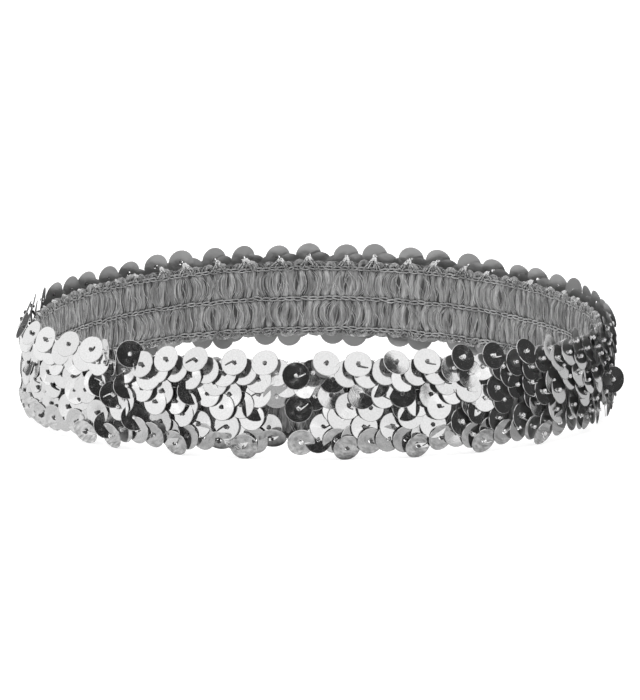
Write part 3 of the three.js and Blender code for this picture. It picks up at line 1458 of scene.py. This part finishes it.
    @staticmethod
    def _arch() -> Shape:
        """Two arches of clear thread: from the hole, over the ribbon's edge, and down its inner face.

        Returns:
            Their shape, with painted shade on the legs, so that only the crowns stay light as a painted
            highlight.
        """
        shares = np.linspace(-1, 1, 8)
        strands = []
        for reach, drop in ((2.3, 0.0), (1.4, 0.14)):
            outs = [-0.5 + 1.6 * max(0.0, 1 - abs(s) * 2.6) for s in shares]
            ups = [1.75 * (1 - abs(s) ** 1.2) + 0.1 - drop for s in shares]
            path = list(zip(outs, reach * shares, ups))
            radii = [(0.19 + 0.24 * max(0.0, 1 - 5 * s * s), 0.19) for s in shares]
            strand = tube_along(path, radii, 4)
            # Painted shade on the legs; the crowns are left as a painted highlight.
            strand.crevice = [0.0 if abs(s) < 0.3 else 1.0 for s in shares for _ in range(4)]
            strands.append(strand)
        return strands[0].beside(strands[1])

    def make(self) -> dict[str, Object]:
        """Builds the strands and their thread.

        Returns:
            The pieces by name.
        """
        foil = FoilFinish("silver_film").material()
        clear = ClearThreadFinish("clear_thread").material()
        pieces, threads, strands = {}, [], {}
        repeater = Repeater([self.disc()], roll=math.pi, seed=5)
        for row in SEWING_ROWS:
            copies = self.copies(row)
            made = repeater.make(row.name, copies, foil)
            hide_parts(row.node)
            pieces[row.name] = made
            threads.append(self.knots(copies, row.seed + 100))
            strands[row.row] = copies
        sizes = ((0.28, 1.1, 1.0), (0.2, 1.0, 0.0), (0.34, 1.2, 0.0), (0.24, 1.1, 0.5))
        knots = Repeater([self.knot(*size) for size in sizes])
        pieces["thread_knots"] = knots.make("thread_knots", Copies.joined(threads), clear)
        arches = self.edge_arches(strands[2], strands[0], 9)
        pieces["thread_arches"] = Repeater([self._arch()]).make("thread_arches", arches, clear)
        for piece in pieces.values():
            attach(piece, BODY)
        return pieces


def turn_matrix(angles: np.ndarray) -> Matrix:
    """A turn given by Euler angles, as a matrix."""
    turn = Matrix.Rotation(angles[2], 3, "Z") @ Matrix.Rotation(angles[1], 3, "Y")
    return turn @ Matrix.Rotation(angles[0], 3, "X")


@dataclass(frozen=True)
class Card:
    """A card that only the film reflects: its corners in millimetres, and its glow."""

    name: str
    corners: tuple[tuple[float, float, float], ...]
    glow: float

    @classmethod
    def standing(
        cls, name: str, start: Point, end: Point, glow: float, low: float = 1, high: float = 250
    ) -> "Card":
        """A card that stands upright between two points, from its low edge to its high one."""
        return cls(name, ((*start, low), (*end, low), (*end, high), (*start, high)), glow)

    @classmethod
    def lying(cls, name: str, glow: float, height: float, *spots: Point) -> "Card":
        """A card that lies level, by its height and its corners seen from above."""
        return cls(name, tuple((*spot, height) for spot in spots), glow)


CARDS = (
    Card.standing("card_right", (150, -100), (150, 5), 0.03),
    Card.standing("card_back_right", (150, 5), (60, 170), 0.62),
    Card.standing("card_back_left", (-128, 52), (-66, 125), 0.12),
    Card.standing("card_front", (-400, -900), (400, -900), 0.01, low=170, high=560),
    Card.lying("card_floor_right", 0.03, 0.1, (60, -30), (70, -66), (250, -150), (250, 0), (66, 0)),
    Card.lying("card_floor_back", 0.62, 0.1, (66, 0), (250, 0), (250, 200), (60, 150)),
    Card.lying("card_floor", 0.98, 0.05, (-400, -400), (400, -400), (400, 400), (-400, 400)),
    Card.lying("card_floor_left", 0.14, 0.1, (-70, 22), (-60, 60), (-66, 125), (-128, 52)),
)
# The rings of the card under the object: the half sizes of each, and its brightness. The two dark
# inner rings are a painted contact shadow under the loop, which only the film reflects.
UNDER_RINGS = ((58.0, 56.0, 0.1), (63.5, 61.5, 0.1), (66.0, 64.0, 1.0), (100.0, 97.0, 1.0))


@dataclass
class Studio:
    """A pale floor, soft light, and cards that only the film reflects. Its sizes are in metres."""

    distance: float = 1.6
    elevation: float = math.radians(11.1)
    lens: float = 370.3
    sensor: float = 36.0
    nearest: float = 0.05
    aim: tuple[float, float, float] = (0.00067, 0.0, 0.01207)
    floor_half: float = 4.0
    surround: float = 1.06
    under_sides: int = 64
    under_height: float = 0.2 * MM

    @staticmethod
    def _facing(made: Object, place: Vector, back: Vector) -> None:
        """Puts a camera or a lamp at a place.

        Args:
            made: The camera or the lamp.
            place: Where it stands.
            back: The direction behind it.
        """
        made.location = place
        made.rotation_mode = "QUATERNION"
        made.rotation_quaternion = (-back).to_track_quat("-Z", "Y")

    def camera(self) -> None:
        """Sets the camera at the photograph's angle."""
        data = bpy.data.cameras.new("camera")
        data.lens = self.lens
        data.sensor_width = self.sensor
        data.clip_start = self.nearest
        made = link_object("camera", data)
        back = Vector((0.0, -math.cos(self.elevation), math.sin(self.elevation)))
        self._facing(made, Vector(self.aim) + back * self.distance, back)
        bpy.context.scene.camera = made

    @staticmethod
    def _stage(made: Object, finish: Material, only_reflected: bool) -> None:
        """Dresses a stage piece.

        Args:
            made: The piece.
            finish: Its material.
            only_reflected: Whether it is hidden from everything but reflections.
        """
        made.data.materials.append(finish)
        if only_reflected:
            made.visible_camera = False
            made.visible_diffuse = False
            made.visible_shadow = False
            made.visible_transmission = False

    def card(self, card: Card) -> None:
        """Puts one card in the studio."""
        made = Shape(np.array(card.corners, float), [tuple(range(len(card.corners)))]).as_object(card.name)
        self._stage(made, LampFinish(f"{card.name}_finish", card.glow).material(), only_reflected=True)

    def card_under(self) -> None:
        """The ring that the lowest sequins reflect in place of the floor: bright at the left, dark at the
        right, with a painted contact shadow close under the loop.
        """
        sides, angles, height = self.under_sides, circle(self.under_sides), self.under_height / MM
        rings = [
            np.column_stack([wide * np.cos(angles), deep * np.sin(angles), np.full(sides, height)])
            for wide, deep, _ in UNDER_RINGS
        ]
        ring = Shape(np.concatenate(rings), turned_over(quads_between(((0, 1), (1, 2), (2, 3)), sides)))
        made = ring.as_object("card_under")
        x = ring.vertices[:, 0]
        tones = 0.70 - 0.22 * Ramp(-52, -40)(x) - 0.06 * Ramp(15, 40)(x) - 0.37 * Ramp(56, 64)(x)
        write_layer(made.data, "tone", tones * np.repeat([bright for *_, bright in UNDER_RINGS], sides))
        glow = LampFinish("card_under_finish", 1.0, 1400.0, 1.2, graded=True)
        self._stage(made, glow.material(), only_reflected=True)

    def lamp(self, name: str, place: Sequence[float], size: float, watts: float) -> None:
        """A square softbox that faces the object.

        Args:
            name: Its name.
            place: Where it stands.
            size: Its side.
            watts: Its power.
        """
        data = bpy.data.lights.new(name, "AREA")
        data.size = size
        data.energy = watts
        made = link_object(name, data)
        self._facing(made, Vector(place), Vector(place))
        made.visible_glossy = False

    def world(self) -> None:
        """An even pale surround."""
        world = bpy.data.worlds.new("surround")
        world.use_nodes = True
        shade = {"Color": grey(1.0), "Strength": self.surround}
        Nodes(world.node_tree).feed(world.node_tree.nodes["Background"], shade)
        bpy.context.scene.world = world

    def make(self) -> None:
        """Sets up the floor, the light and the cards."""
        self.camera()
        self.world()
        half = self.floor_half / MM
        corners = [(-half, -half, 0), (half, -half, 0), (half, half, 0), (-half, half, 0)]
        floor = Shape(np.array(corners), [(0, 1, 2, 3)]).as_object("floor")
        self._stage(floor, FloorFinish("pale_floor").material(), only_reflected=False)
        self.lamp("softbox_left", (-1.1, -0.9, 0.9), 1.4, 5.5)
        self.lamp("softbox_top", (0.1, -0.4, 1.3), 1.0, 5.0)
        for card in CARDS:
            self.card(card)
        self.card_under()
        bpy.context.scene.view_settings.view_transform = "Standard"


def report(pieces: dict[str, Object]) -> int:
    """Logs each piece and its size.

    Args:
        pieces: The pieces by name.

    Returns:
        How many triangles they have together.
    """
    total = 0
    for name, piece in pieces.items():
        triangles = sum(len(face.vertices) - 2 for face in piece.data.polygons)
        total += triangles
        log.info("%s: %d triangles", name, triangles)
    return total


def main() -> None:
    """Builds the studio, the ribbon and the strands in order."""
    logging.basicConfig(level=logging.INFO, format="%(name)s %(message)s")
    Studio().make()
    low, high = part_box(RIBBON_NODE)
    plan = LoopPlan.from_ribbon(low, high)
    log.info("the loop's line is %.1f mm long", plan.length)
    ribbon = ElasticRibbon(plan, low.z / MM, high.z / MM)
    total = report(ribbon.make())
    total += report(SequinStrands(plan, ribbon.rows).make())
    log.info("%d triangles in all", total)


if __name__ == "__main__":
    main()
